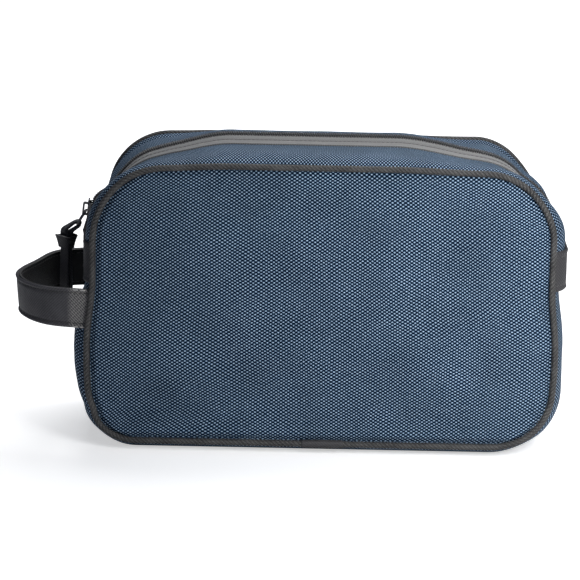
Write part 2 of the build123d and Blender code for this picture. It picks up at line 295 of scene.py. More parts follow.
def frames_along(points, up):
    """Unit side and up vectors for a section carried along points."""
    p = np.asarray(points, dtype=float)
    t = np.gradient(p, axis=0)
    t /= np.linalg.norm(t, axis=1, keepdims=True)
    up = np.broadcast_to(np.asarray(up, dtype=float), p.shape)
    side = np.cross(t, up)
    side /= np.maximum(np.linalg.norm(side, axis=1, keepdims=True), 1e-9)
    return side, np.cross(side, t)


def length_uvs(points, section):
    """UVs for a carried section: the length along it and the length around it."""
    pair = np.meshgrid(run_lengths(points), run_lengths(section), indexing="ij")
    return np.stack(pair, axis=2).reshape(-1, 2)


def carried(name, points, section, up, closed=False, scale=None):
    """A closed section, as (side, up) pairs, carried along points."""
    p = np.asarray(points, dtype=float)
    if closed:
        padded = np.concatenate([p[-1:], p, p[:1]])
        side, top = frames_along(padded, up)
        side, top = side[1:-1], top[1:-1]
    else:
        side, top = frames_along(p, up)
    sec = np.asarray(section, dtype=float)
    if scale is None:
        scale = np.ones(len(p))
    grid = (
        p[:, None]
        + side[:, None] * (sec[None, :, 0] * scale[:, None])[..., None]
        + top[:, None] * (sec[None, :, 1] * scale[:, None])[..., None]
    )
    n, m = grid.shape[:2]
    uvs = length_uvs(p, sec)
    faces = tube_faces(0, n, m)
    if closed:  # the last ring meets the first instead of the two ends
        last = (n - 1) * m
        faces[-2:] = [(last + k, last + (k + 1) % m, (k + 1) % m, k) for k in range(m)]
    return make_mesh(name, grid.reshape(-1, 3), faces, uvs)


def circle(r, steps=12):
    return [(r * math.cos(2 * math.pi * k / steps), r * math.sin(2 * math.pi * k / steps))
            for k in range(steps)]


def rounded(w, h, r, steps=4):
    """A rounded rectangle's section, w wide and h high."""
    out = []
    for cx, cy, start in ((w / 2 - r, h / 2 - r, 0), (-w / 2 + r, h / 2 - r, 90),
                          (-w / 2 + r, -h / 2 + r, 180), (w / 2 - r, -h / 2 + r, 270)):
        for k in range(steps + 1):
            a = math.radians(start + 90 * k / steps)
            out.append((cx + r * math.cos(a), cy + r * math.sin(a)))
    return out


def resample(points, gap):
    """Evenly spaced points, with their lengths and the given points' lengths."""
    along = run_lengths(points)
    count = max(int(round(along[-1] / gap)), 1)
    at = (np.arange(count) + 0.5) * along[-1] / count
    return interpolate(at, along, points), at, along


def stitches(name, points, ups, pitch=3.3, length=2.5, width=0.62, height=0.34, lean=0.0):
    """A row of thread stitches along points; ups are the surface's normals there."""
    centres, at, along = resample(points, pitch)
    up = interpolate(at, along, ups)
    ahead, behind = interpolate(at + 0.5, along, points), interpolate(at - 0.5, along, points)
    verts, faces = [], []
    profile = ((-0.5, 0.25), (-0.38, 0.8), (-0.15, 1.0), (0.15, 1.0), (0.38, 0.8), (0.5, 0.25))
    around = circle(1.0, 6)
    for c, n, f, b in zip(centres, up, ahead, behind):
        t = f - b
        t /= max(np.linalg.norm(t), 1e-9)
        n = n - t * n.dot(t)
        n /= max(np.linalg.norm(n), 1e-9)
        s = np.cross(t, n)
        t = t * math.cos(lean) + s * math.sin(lean)
        s = np.cross(t, n)
        base = len(verts)
        for x, r in profile:
            for a, h in around:
                sink = height * (0.25 if abs(x) < 0.4 else -0.35)
                verts.append(c + t * x * length + s * a * r * width / 2
                             + n * (h * r * height / 2 + sink))
        faces += tube_faces(base, len(profile), len(around))
    return make_mesh(name, verts, faces, [(v[0], v[2]) for v in verts])


# ---- materials ----
class Nodes:
    """Short-hand for a material's nodes."""

    def __init__(self, name):
        self.material = bpy.data.materials.new(name)
        self.material.use_nodes = True
        self.tree = self.material.node_tree
        self.shader = self.tree.nodes["Principled BSDF"]

    def node(self, kind, **values):
        made = self.tree.nodes.new(kind)
        for key, value in values.items():
            if key.startswith("in_"):
                made.inputs[key[3:].replace("_", " ")].default_value = value
            else:
                setattr(made, key, value)
        return made

    def link(self, a, b):
        self.tree.links.new(a, b)

    def math(self, operation, a, b=None, c=None, clamp=False):
        made = self.tree.nodes.new("ShaderNodeMath")
        made.operation = operation
        made.use_clamp = clamp
        for socket, value in zip(made.inputs, (a, b, c)):
            if value is None:
                continue
            if isinstance(value, (int, float)):
                socket.default_value = value
            else:
                self.link(value, socket)
        return made.outputs[0]

    def uv(self):
        coords = self.tree.nodes.new("ShaderNodeUVMap")
        coords.uv_map = "UVMap"
        split = self.tree.nodes.new("ShaderNodeSeparateXYZ")
        self.link(coords.outputs[0], split.inputs[0])
        return coords.outputs[0], split.outputs[0], split.outputs[1]

    def noise(self, vector, scale, detail=3.0, rough=0.55):
        made = self.node("ShaderNodeTexNoise")
        made.inputs["Scale"].default_value = scale
        made.inputs["Detail"].default_value = detail
        made.inputs["Roughness"].default_value = rough
        self.link(vector, made.inputs["Vector"])
        return made.outputs["Fac"]

    def mix(self, factor, a, b, blend="MIX"):
        made = self.tree.nodes.new("ShaderNodeMix")
        made.data_type = "RGBA"
        made.blend_type = blend
        for index, value in ((0, factor), (6, a), (7, b)):
            if isinstance(value, (int, float)):
                made.inputs[index].default_value = value
            elif isinstance(value, tuple):
                made.inputs[index].default_value = (*value, 1)
            else:
                self.link(value, made.inputs[index])
        return made.outputs[2]

    def ramp(self, value, low, high, out_low=0.0, out_high=1.0):
        made = self.tree.nodes.new("ShaderNodeMapRange")
        self.link(value, made.inputs[0])
        for index, number in enumerate((low, high, out_low, out_high), 1):
            made.inputs[index].default_value = number
        return made.outputs[0]

    def bump(self, height, strength, distance, under=None):
        made = self.node("ShaderNodeBump")
        made.inputs["Strength"].default_value = strength
        made.inputs["Distance"].default_value = distance * MM
        self.link(height, made.inputs["Height"])
        if under is not None:
            self.link(under, made.inputs["Normal"])
        return made.outputs[0]

    def finish(self, colour, roughness, normal, **values):
        self.link(colour, self.shader.inputs["Base Color"])
        if isinstance(roughness, (int, float)):
            self.shader.inputs["Roughness"].default_value = roughness
        else:
            self.link(roughness, self.shader.inputs["Roughness"])
        if normal is not None:
            self.link(normal, self.shader.inputs["Normal"])
        for key, value in values.items():
            self.shader.inputs[key.replace("_", " ")].default_value = value
        return self.material


WEAVE_PITCH, WEAVE_ROW = 2.72, 0.935
WEAVE_SLANT = 0.018  # the cloth is cut a little off its grain


def ballistic_cloth(name, gap, middle, high):
    """Ballistic weave: navy yarn floats with a painted highlight on their crowns and painted
    shade in the holes between them.
    """
    n = Nodes(name)
    uv, u, v = n.uv()
    u2 = n.math("ADD", u, n.math("MULTIPLY", n.noise(uv, 0.035, 2.0), 3.0))
    u2 = n.math("ADD", u2, n.math("MULTIPLY", v, WEAVE_SLANT))
    v2 = n.math("ADD", v, n.math("MULTIPLY", n.noise(uv, 0.04, 2.0), 2.4))
    v2 = n.math("ADD", v2, n.math("MULTIPLY", u, -WEAVE_SLANT))
    cu = n.math("COSINE", n.math("MULTIPLY", u2, 2 * math.pi / WEAVE_PITCH))
    cv = n.math("COSINE", n.math("MULTIPLY", v2, math.pi / WEAVE_ROW))
    weave = n.math("MULTIPLY", cu, cv)
    fibres = n.noise(uv, 6.5, 3.0, 0.7)
    yarn = n.noise(uv, 0.42, 2.0, 0.6)
    patchy = n.noise(uv, 0.03, 3.0, 0.5)
    # painted highlight: the floats' crowns take the pale high colour, as if lit
    over = n.ramp(weave, 0.2, 0.95)
    painted_highlight = n.math("MULTIPLY", over, n.ramp(yarn, 0.3, 0.7, 0.72, 1.12))
    # painted shade: the holes between the floats take the near-black gap colour
    base = n.mix(n.ramp(weave, -0.38, 0.45), gap, middle)
    base = n.mix(n.math("MINIMUM", painted_highlight, 1.0), base, high)
    shade = n.ramp(patchy, 0.3, 0.7, 0.84, 1.14)
    shade = n.math("MULTIPLY", shade, n.ramp(fibres, 0.3, 0.7, 0.9, 1.1))
    tint = n.node("ShaderNodeCombineColor")
    for socket in tint.inputs[:3]:
        n.link(shade, socket)
    base = n.mix(1.0, base, tint.outputs[0], "MULTIPLY")
    height = n.math("ADD", n.ramp(weave, -1.0, 1.0), n.math("MULTIPLY", fibres, 0.2))
    rough = n.ramp(weave, -1.0, 1.0, 0.75, 0.42)
    return n.finish(base, rough, n.bump(height, 0.7, 0.42), Sheen_Weight=0.03,
                    Sheen_Roughness=0.4, Sheen_Tint=(0.35, 0.65, 1.0, 1.0),
                    Specular_IOR_Level=0.10, Specular_Tint=(0.45, 0.72, 1.0, 1.0))


def leather(name, dark, light, pitch=1.7, rough=(0.42, 0.62), strength=0.5, sewn=0.0):
    """Cross-hatched, printed leatherette with paler ridges. sewn coarsens its first stretch."""
    n = Nodes(name)
    uv, u, v = n.uv()
    warp = n.math("MULTIPLY", n.noise(uv, 0.9, 3.0), 0.7)
    a = n.math("ADD", n.math("ADD", u, v), warp)
    b = n.math("ADD", n.math("SUBTRACT", u, v), warp)
    k = math.pi / pitch
    sa = n.math("ABSOLUTE", n.math("SINE", n.math("MULTIPLY", a, k)))
    sb = n.math("ABSOLUTE", n.math("SINE", n.math("MULTIPLY", b, k * 1.9)))
    grain = n.math("MULTIPLY", n.math("POWER", sa, 1.4), n.math("POWER", sb, 0.7))
    pores = n.noise(uv, 3.4, 4.0, 0.7)
    fine = n.noise(uv, 1.1, 2.0, 0.6)
    height = n.math("ADD", n.math("MULTIPLY", grain, 0.8), n.math("MULTIPLY", pores, 0.5))
    worn = n.ramp(n.noise(uv, 0.09, 3.0), 0.35, 0.75, 0.0, 0.35)
    tone = n.math("MULTIPLY", n.math("MULTIPLY", grain, n.ramp(fine, 0.3, 0.7, 0.35, 1.2)), 0.9)
    tone = n.math("ADD", tone, worn, clamp=True)
    colour = n.mix(tone, dark, light)
    if sewn:
        near = n.math("MULTIPLY", n.ramp(u, sewn, sewn + 3.0, 1.0, 0.0),
                      n.ramp(fine, 0.3, 0.6, 0.5, 1.0))
        lines = n.math("SINE", n.math("MULTIPLY", n.math("SUBTRACT", u, v), math.pi / 1.7))
        others = n.math("SINE", n.math("MULTIPLY", n.math("ADD", u, v), math.pi / 2.6))
        lines = n.math("POWER", n.math("ABSOLUTE", lines), 7.0)
        others = n.math("MULTIPLY", n.math("POWER", n.math("ABSOLUTE", others), 9.0), 0.55)
        mesh = n.math("MULTIPLY", n.math("MAXIMUM", lines, others), near)
        colour = n.mix(mesh, colour, (0.34, 0.33, 0.31))
    roughness = n.ramp(height, 0.2, 1.2, rough[1], rough[0])
    return n.finish(colour, roughness, n.bump(height, strength, 0.3), Specular_IOR_Level=0.35)


def ribbed_tape(name, dark, light, rib=0.9, cross=0.55, strength=0.6):
    n = Nodes(name)
    uv, u, v = n.uv()
    fuzz = n.noise(uv, 4.0, 3.0, 0.7)
    along = n.math("SINE", n.math("MULTIPLY", n.math("ADD", u, n.math("MULTIPLY", fuzz, 0.12)),
                                  2 * math.pi / cross))
    across = n.math("SINE", n.math("MULTIPLY", v, 2 * math.pi / rib))
    slant = n.math("SINE", n.math("MULTIPLY", n.math("ADD", u, v), 2 * math.pi / 1.3))
    height = n.math("ADD", n.math("MULTIPLY", along, 0.35), n.math("MULTIPLY", across, 0.45))
    height = n.math("ADD", height, n.math("MULTIPLY", slant, 0.3))
    tone = n.ramp(height, -0.9, 0.9, 0.0, 1.0)
    tone = n.math("MULTIPLY", tone, n.ramp(fuzz, 0.3, 0.7, 0.75, 1.1), clamp=True)
    return n.finish(n.mix(tone, dark, light), 0.75, n.bump(height, strength, 0.16),
                    Sheen_Weight=0.2)


def thread(name, dark, light):
    n = Nodes(name)
    uv, u, v = n.uv()
    twist = n.math("SINE", n.math("MULTIPLY", n.math("ADD", u, v), 2 * math.pi / 0.45))
    fuzz = n.noise(uv, 5.0, 2.0)
    tone = n.math("MULTIPLY", n.ramp(twist, -1, 1, 0.3, 1.0), n.ramp(fuzz, 0.3, 0.7, 0.7, 1.1))
    return n.finish(n.mix(tone, dark, light), 0.6, n.bump(twist, 0.4, 0.1), Sheen_Weight=0.2)


def moulded(name, dark, light, rough=0.4):
    n = Nodes(name)
    uv = n.uv()[0]
    mottle = n.noise(uv, 1.1, 4.0, 0.65)
    fine = n.noise(uv, 7.0, 2.0)
    dull = n.ramp(mottle, 0.3, 0.7, rough - 0.08, rough + 0.12)
    return n.finish(n.mix(mottle, dark, light), dull, n.bump(fine, 0.25, 0.05))


def gunmetal(name):
    """Polished dark metal with fine scratches and paler, rubbed high spots."""
    n = Nodes(name)
    coords = n.node("ShaderNodeTexCoord").outputs["Object"]
    mottle = n.noise(coords, 420.0, 4.0, 0.6)
    stretch = n.node("ShaderNodeMapping")
    stretch.inputs["Scale"].default_value = (9000.0, 900.0, 900.0)
    n.link(coords, stretch.inputs["Vector"])
    scratches = n.noise(stretch.outputs[0], 1.0, 3.0, 0.7)
    colour = n.mix(mottle, (0.10, 0.10, 0.105), (0.30, 0.295, 0.29))
    rough = n.math("ADD", n.ramp(mottle, 0.3, 0.7, 0.16, 0.30),
                   n.math("MULTIPLY", scratches, 0.10))
    return n.finish(colour, rough, n.bump(scratches, 0.15, 0.03), Metallic=1.0)


def foam_material(name):
    n = Nodes(name)
    coords = n.uv()[0]
    cells = n.node("ShaderNodeTexVoronoi")
    cells.inputs["Scale"].default_value = 1.6
    n.link(coords, cells.inputs["Vector"])
    height = cells.outputs["Distance"]
    return n.finish(n.mix(height, (0.62, 0.61, 0.58), (0.80, 0.79, 0.75)), 0.9,
                    n.bump(height, 0.5, 0.3))


def lining_material(name):
    n = Nodes(name)
    uv, u, v = n.uv()
    warp = n.math("SINE", n.math("MULTIPLY", u, 2 * math.pi / 0.7))
    weft = n.math("SINE", n.math("MULTIPLY", v, 2 * math.pi / 0.7))
    height = n.math("MULTIPLY", warp, weft)
    sag = n.noise(uv, 0.05, 3.0)
    tone = n.math("MULTIPLY", n.ramp(height, -1, 1, 0.2, 1.0), n.ramp(sag, 0.3, 0.7, 0.6, 1.0))
    return n.finish(n.mix(tone, (0.018, 0.020, 0.025), (0.075, 0.08, 0.09)), 0.55,
                    n.bump(height, 0.4, 0.1), Sheen_Weight=0.15)


# colours: painted shade for the weave's holes, the yarn's own navy, a painted highlight for the
# floats' crowns
NAVY = ballistic_cloth("navy_ballistic_cloth", (0.0003, 0.0025, 0.009), (0.024, 0.064, 0.128),
                       (0.44, 0.57, 0.715))
LEATHER = leather("charcoal_leatherette", (0.026, 0.025, 0.028), (0.068, 0.067, 0.070))
# a paler copy of the charcoal leatherette: painted light that lifts the handle out of its shade;
# it also carries the sewn ends
HANDLE_LEATHER_PAINTED_LIGHT = leather("handle_leatherette_painted_light", (0.036, 0.035, 0.040), (0.090, 0.088, 0.095),
                         sewn=9.0)
PIPE_LEATHER = leather("piping_leatherette", (0.004, 0.004, 0.005), (0.12, 0.118, 0.115),
                       pitch=2.4, rough=(0.32, 0.55), strength=1.0)
BACKING = leather("black_backing", (0.004, 0.004, 0.004), (0.018, 0.017, 0.016), pitch=0.5)
TAPE = ribbed_tape("zip_tape_weave", (0.045, 0.046, 0.048), (0.24, 0.24, 0.235))
BINDING = ribbed_tape("binding_weave", (0.008, 0.008, 0.009), (0.05, 0.05, 0.054), 1.4, 0.8)
PALE_THREAD = thread("grey_thread", (0.18, 0.175, 0.17), (0.55, 0.54, 0.52))
DARK_THREAD = thread("charcoal_thread", (0.008, 0.008, 0.009), (0.05, 0.049, 0.05))
COIL = moulded("coil_nylon", (0.012, 0.012, 0.013), (0.05, 0.05, 0.052))
METAL = gunmetal("gunmetal")
FOAM_LOOK = foam_material("foam_cells")
LINING_LOOK = lining_material("lining_weave")


def dress(obj, look, body="root", nodes=(), blend=None):
    """Gives a piece its material and hides the CAD nodes it stands for; it rides on body, or with
    blend is only baked where it stands.
    """
    obj.data.materials.clear()
    obj.data.materials.append(look)
    if nodes:
        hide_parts(*nodes)
    if blend:
        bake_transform(obj)
    else:
        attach(obj, body)
    return obj


# ---- panels ----
PANEL_RIM = 1.75  # the cloth turns in under the piping here, from the seam
PAD_RIM = 5.0  # the foam and the lining stop short of the seam
PANEL_CROWN = 3.0  # the padded panel stands out this far in its middle


def panel_grid(side, edge=1.75, curl=1.9, nx=150, nz=92):
    """The panel's outer face as rows across it. side is -1 at the front, 1 at the back."""
    half, low, high = HALF - edge, SEAM_BOTTOM + edge, SEAM_TOP - edge
    grid, uv = [], []
    for j in range(nz + 1):
        z = low + (high - low) * (0.5 - 0.5 * math.cos(math.pi * j / nz))
        width = half
        for r, reach in ((TOP_R - edge, high - z), (BOTTOM_R - edge, z - low)):
            if reach < r:
                width = min(width, half - r + math.sqrt(max(r * r - (r - reach) ** 2, 0)))
        row, uv_row = [], []
        for i in range(nx + 1):
            x = width * math.sin(math.pi * (i / nx - 0.5))
            rim = min(width - abs(x), high - z, z - low) + edge - PANEL_RIM
            inset = curl * (1 - smooth(rim, 0, 3.6))
            crown = PANEL_CROWN * smooth(rim, 0, 55)
            folds = 1.5 * wobble((x, 0, z * 1.5), 46, 3 + side) * smooth(rim, 4, 26)
            folds += 0.5 * wobble((x, 0, z), 17, 9 + side) * smooth(rim, 2, 14)
            p = settle((x, side * (SEAM_Y + 0.6 + crown + folds - inset), z))
            row.append(p)
            uv_row.append((x, z))
        grid.append(row)
        uv.append(uv_row)
    return grid, uv


def build_panels():
    for side, word in ((-1, "front"), (1, "back")):
        grid, uv = panel_grid(side, PANEL_RIM)
        flip = side > 0
        shell = layer(f"{word}_panel_cloth", grid, uv, 0, CLOTH, not flip)
        dress(shell, NAVY, nodes=[f"{word}_panel"])
        grid, uv = panel_grid(side, PAD_RIM, 0.0, 90, 60)
        foam = layer(f"{word}_panel_foam", grid, uv, CLOTH, FOAM, not flip)
        dress(foam, FOAM_LOOK, nodes=[f"{word}_foam"])
        lining = layer(f"{word}_panel_lining", grid, uv, CLOTH + FOAM, LINING, not flip)
        dress(lining, LINING_LOOK, nodes=[f"{word}_lining"])


# ---- gusset and top strips ----
def crown(d):
    """The gusset's section: (y, n) at a distance d over its surface from the middle."""
    if abs(d) <= FLAT_Y:
        return d, BULGE
    a = (abs(d) - FLAT_Y) / SHOULDER_R
    y = FLAT_Y + SHOULDER_R * math.sin(a) + 0.9 * smooth(math.degrees(a), 20, 52)
    return math.copysign(y, d), BULGE - SHOULDER_R + SHOULDER_R * math.cos(a)


EDGE_D = FLAT_Y + SHOULDER_R * math.radians(62)
FOLD_D = FLAT_Y + SHOULDER_R * math.asin((FOLD_Y - FLAT_Y) / SHOULDER_R)


SWELL_LEFT, SWELL_RIGHT = 3.4, -1.9  # how far each end stands out of its even shape
PULL_HOLLOW = 2.2  # the gusset gives way behind the pull


def end_swell(x, z):
    if x < 0:
        return SWELL_LEFT * smooth(z, 8, 50) * (1 - smooth(z, 66, 90))
    return SWELL_RIGHT * smooth(z, 20, 60)


def lower_point(s, d):
    (x, z), (nx, nz) = SEAM.at(s)
    y, n = crown(d)
    soft = smooth(EDGE_D - abs(d), 0, 22)
    p = (x + nx * n, y, z + nz * n)
    n += end_swell(x, z) * smooth(EDGE_D - abs(d), 0, 12)
    if x < 0:
        hollow = PULL_HOLLOW * math.exp(-(y / 18) ** 2)
        n -= hollow * smooth(z, 48, 70) * (1 - smooth(z, 92, 106))
    if z > SEAM_BOTTOM + 4:
        n += soft * 1.3 * wobble(p, 38, 21) * smooth(z, SEAM_BOTTOM + 4, 40)
    return settle((x + nx * n, y, z + nz * n))


def build_gusset():
    start, end = SEAM.start_of(6), SEAM.total + SEAM.start_of(2)
    start += SEAM.at(start)[0][1] - GUSSET_TOP
    end += GUSSET_TOP - (SEAM_BOTTOM + BOTTOM_R)
    rows, columns = 330, 76
    grid, uv = [], []
    for i in range(rows + 1):
        s = start + (end - start) * i / rows
        ds = [EDGE_D * (2 * k / columns - 1) for k in range(columns + 1)]
        grid.append([lower_point(s, d) for d in ds])
        uv.append([(d, s) for d in ds])
    shell = layer("lower_gusset_cloth", grid, uv, 0, CLOTH)
    dress(shell, NAVY, nodes=["lower_gusset"])
    foam = layer("lower_gusset_foam", grid, uv, CLOTH, FOAM)
    dress(foam, FOAM_LOOK, nodes=["gusset_foam"])
    lining = layer("lower_gusset_lining", grid, uv, CLOTH + FOAM, LINING)
    dress(lining, LINING_LOOK, nodes=["gusset_lining"])


def run_values(count_line=10, count_arc=44, count_top=120):
    """Stations along the top run, as (part, fraction), from the left patch to the right."""
    foot = (GUSSET_TOP - (SEAM_BOTTOM + BOTTOM_R)) / SEAM.lengths[2]
    out = [(2, foot + (1 - foot) * k / count_line) for k in range(count_line)]
    out += [(3, k / count_arc) for k in range(count_arc)]
    out += [(4, k / count_top) for k in range(count_top)]
    out += [(5, k / count_arc) for k in range(count_arc)]
    out += [(6, (1 - foot) * k / count_line) for k in range(count_line + 1)]
    return out


def zip_fraction(part, f):
    """The zip outline's fraction at the same station; its two end parts start at the patch."""
    if part not in (2, 6):
        return f
    foot = (GUSSET_TOP - BOTTOM_R) / ZIP.lengths[2]
    seam_foot = (GUSSET_TOP - (SEAM_BOTTOM + BOTTOM_R)) / SEAM.lengths[2]
    if part == 2:
        return foot + (1 - foot) * (f - seam_foot) / (1 - seam_foot)
    return (1 - foot) * f / (1 - seam_foot)


STRIP_EDGE = 13.3  # the strip starts under the tape's edge
TOP_SAG = 2.2  # the straight top sinks between the zip and the seams
TAPE_Y = (-14.0, -11.0, -8.0, -5.0, -2.5, 0.0, 4.0, 8.5, 11.0, 14.0)
TAPE_RISE = (-0.1, 0.3, 0.95, 1.9, 2.5, 2.6, 2.85, 2.8, 1.6, 0.5)


def tape_rise(y, z):
    """The tape's rise over its path: along the top it is a crest, sloping to the front."""
    return float(np.interp(y, TAPE_Y, TAPE_RISE)) * smooth(z, 150, 165)


def tape_fade(x):
    return 1 - 0.5 * smooth(abs(x), 60, 96)


def top_point(part, f, d, side):
    """A point of a top strip, d over the surface from the middle; side is -1 at the front."""
    (x, z), (nx, nz) = SEAM.part_at(part, f)
    y, n = crown(d)
    p = np.array([x + nx * n, y, z + nz * n])
    (zx, zz), (mx, mz) = ZIP.part_at(part, zip_fraction(part, f))
    lift = tape_rise(side * TAPE_OUTER, zz) * tape_fade(zx) - 0.85
    q = np.array([zx + mx * lift, y, zz + mz * lift])
    sag = TOP_SAG * smooth(z, 128, 158)
    p -= np.array([nx, 0, nz]) * sag * smooth(EDGE_D - abs(d), 0, 15)
    w = 1 - smooth(abs(d), STRIP_EDGE + 5, FLAT_Y + 3)
    p = p * (1 - w) + q * w
    hill = 0.9 * math.sin(math.pi * smooth(abs(d), STRIP_EDGE, EDGE_D))
    soft = smooth(abs(d), STRIP_EDGE, 26) * smooth(EDGE_D - abs(d), 0, 18)
    hill += soft * 0.9 * wobble(tuple(p), 30, 40 + side)
    p += np.array([nx, 0, nz]) * hill
    return settle((p[0], side * abs(p[1]), p[2]))


def half_runs():
    values = run_values()
    middle = next(i for i, (part, f) in enumerate(values) if part == 4 and f >= 0.5)
    return (("left", values[: middle + 1]), ("right", values[middle:]))


LIP_START, LIP_END = HALF - 1, 42.0


def lip_blend(side, hand):
    sign = -1 if hand == "left" else 1
    y, z = side * FOLD_Y * MM, SEAM_TOP * MM
    body = "front_lip" if side < 0 else "rear_lip"
    return ("root", body, (sign * LIP_START * MM, y, z), (sign * LIP_END * MM, y, z))


def length_along(values, outline=SEAM):
    return [outline.start_of(part) + outline.lengths[part] * f for part, f in values]


def strip_grid(values, side, d_from, d_to, columns):
    lengths = length_along(values)
    ds = [d_from + (d_to - d_from) * k / columns for k in range(columns + 1)]
    grid = [[top_point(part, f, d, side) for d in ds] for part, f in values]
    uv = [[(side * d, s) for d in ds] for s in lengths]
    return grid, uv


def build_strips():
    for side, word in ((-1, "front"), (1, "rear")):
        flip = side < 0
        grid, uv = strip_grid(run_values(), side, FOLD_D, EDGE_D, 14)
        base = layer(f"{word}_strip_shoulder", grid, uv, 0, CLOTH, flip)
        dress(base, NAVY, nodes=[f"{word}_strip"])
        under = layer(f"{word}_strip_shoulder_lining", grid, uv, CLOTH, LINING, flip)
        dress(under, LINING_LOOK, nodes=[f"{word}_strip_lining"])
        grid, uv = strip_grid(run_values(), side, FOLD_D - 3.2, FOLD_D + 1.5, 6)
        turned = layer(f"{word}_strip_turned_edge", grid, uv, CLOTH + LINING + 0.15, 0.6, flip)
        dress(turned, NAVY, nodes=[f"{word}_strip"])
        for hand, values in half_runs():
            blend = lip_blend(side, hand)
            grid, uv = strip_grid(values, side, STRIP_EDGE, FOLD_D, 36)
            flap = layer(f"{word}_strip_{hand}", grid, uv, 0, CLOTH, flip)
            dress(flap, NAVY, nodes=[f"{word}_strip", f"{word}_strip_lip"],
                  blend=blend)
            under = layer(f"{word}_strip_{hand}_lining", grid, uv, CLOTH, LINING, flip)
            dress(under, LINING_LOOK,
                  nodes=[f"{word}_strip_lining", f"{word}_strip_lining_lip"], blend=blend)


def zip_point(part, f, y, n):
    (x, z), (nx, nz) = ZIP.part_at(part, zip_fraction(part, f))
    n += tape_rise(y, z) * tape_fade(x)
    return settle((x + nx * n, y, z + nz * n))


def build_zip():
    for side, word in ((-1, "front"), (1, "rear")):
        for hand, values in half_runs():
            blend = lip_blend(side, hand)
            lengths = length_along(values, ZIP)
            columns = 16
            ys = [0.8 + (TAPE_OUTER - 0.8) * k / columns for k in range(columns + 1)]
            grid = [[zip_point(p, f, side * y, -0.05 - groove(y)) for y in ys] for p, f in values]
            uv = [[(s, y) for y in ys] for s in lengths]
            tape = layer(f"{word}_tape_{hand}", grid, uv, 0, 0.75, side < 0)
            dress(tape, TAPE, nodes=[f"{word}_zip_tape", f"{word}_zip_tape_lip"],
                  blend=blend)
            coil = build_coil(f"{word}_coil_{hand}", values, side)
            dress(coil, COIL, nodes=[f"{word}_zip_coil", f"{word}_zip_coil_lip"],
                  blend=blend)
            up = [np.array(zip_point(p, f, 0, 1)) - np.array(zip_point(p, f, 0, 0))
                  for p, f in values]
            for name, out, pitch, width in (("coil", 3.6, 1.9, 0.5), ("tape", SEW_Y, 2.4, 0.75)):
                line = [zip_point(p, f, side * out, -0.1) for p, f in values]
                row = stitches(f"{word}_{name}_{hand}_stitches", line, up, pitch, pitch * 0.8,
                               width, 0.3)
                dress(row, DARK_THREAD, blend=blend)


SEW_Y = 8.4  # the row of stitches that holds the tape to the strip


def groove(y):
    return 0.45 * math.exp(-((y - SEW_Y) / 0.9) ** 2)


def build_coil(name, values, side, pitch=1.25):
    """One side of the zip: a row of bent nylon loops, each with its rounded nose."""
    line = [zip_point(p, f, 0, 0) for p, f in values]
    ups = [np.array(zip_point(p, f, 0, 1)) - np.array(zip_point(p, f, 0, 0)) for p, f in values]
    _, at, along = resample(line, pitch)
    at = at + side * pitch / 4  # the two sides' noses fall between each other
    centres, up = interpolate(at, along, line), interpolate(at, along, ups)
    loop = ((3.0, 0.0), (2.6, 0.55), (1.8, 0.85), (0.7, 0.8), (-0.05, 0.45), (-0.1, -0.05))
    broad = (1.15, 1.15, 1.1, 0.74, 0.66, 0.66)
    verts, faces = [], []
    around = circle(0.42, 6)
    for c, n in zip(centres, up):
        n = n / np.linalg.norm(n)
        y = np.array([0, side, 0])
        t = np.cross(y, n)
        base = len(verts)
        for k, (out, rise) in enumerate(loop):
            before, after = loop[max(k - 1, 0)], loop[min(k + 1, len(loop) - 1)]
            tangent = np.array([after[0] - before[0], after[1] - before[1]])
            tangent /= np.linalg.norm(tangent)
            across = y * -tangent[1] + n * tangent[0]
            for a, h in around:
                verts.append(c + y * out + n * rise + across * h * 1.05 + t * a * broad[k])
        faces += tube_faces(base, len(loop), len(around))
    return make_mesh(name, verts, faces, [(v[0], v[2]) for v in verts])


# ---- piping, bindings and patches ----
def seam_line(y, n, steps=420):
    out = []
    for k in range(steps):
        (x, z), (nx, nz) = SEAM.at(SEAM.total * k / steps)
        out.append(settle((x + nx * n, y, z + nz * n)))
    return out


def build_piping():
    for side, word in ((-1, "front"), (1, "rear")):
        line = np.asarray(seam_line(side * SEAM_Y, 0, 640))
        swell = np.array([1 + 0.045 * wobble(p, 9, 5 + side) for p in line])
        pipe = carried(f"{word}_piping_cord", line, circle(PIPE_R, 14), (0, 1, 0), True, swell)
        dress(pipe, PIPE_LEATHER, nodes=[f"{word}_piping"])
        low, high = box_mm(f"{word}_piping_splice")
        xs = np.linspace(high[0], low[0], 26)
        bar = [settle((x, side * SEAM_Y, SEAM_BOTTOM)) for x in xs]
        ends = np.array([0.93 if k in (0, 25) else 1.0 for k in range(26)])
        swell = ends * np.array([1 + 0.03 * wobble(p, 5, 8) for p in bar])
        sleeve = carried(f"{word}_piping_sleeve", bar, circle(PIPE_R + 0.55, 18), (0, 1, 0),
                         False, swell)
        dress(sleeve, LEATHER, nodes=[f"{word}_piping_splice"])
        tape = carried(f"{word}_binding", seam_line(side * (SEAM_Y - 3.6), -5.6, 300),
                       rounded(4.6, 1.3, 0.5), (0, 1, 0), True)
        dress(tape, BINDING, nodes=[f"{word}_seam_binding"])


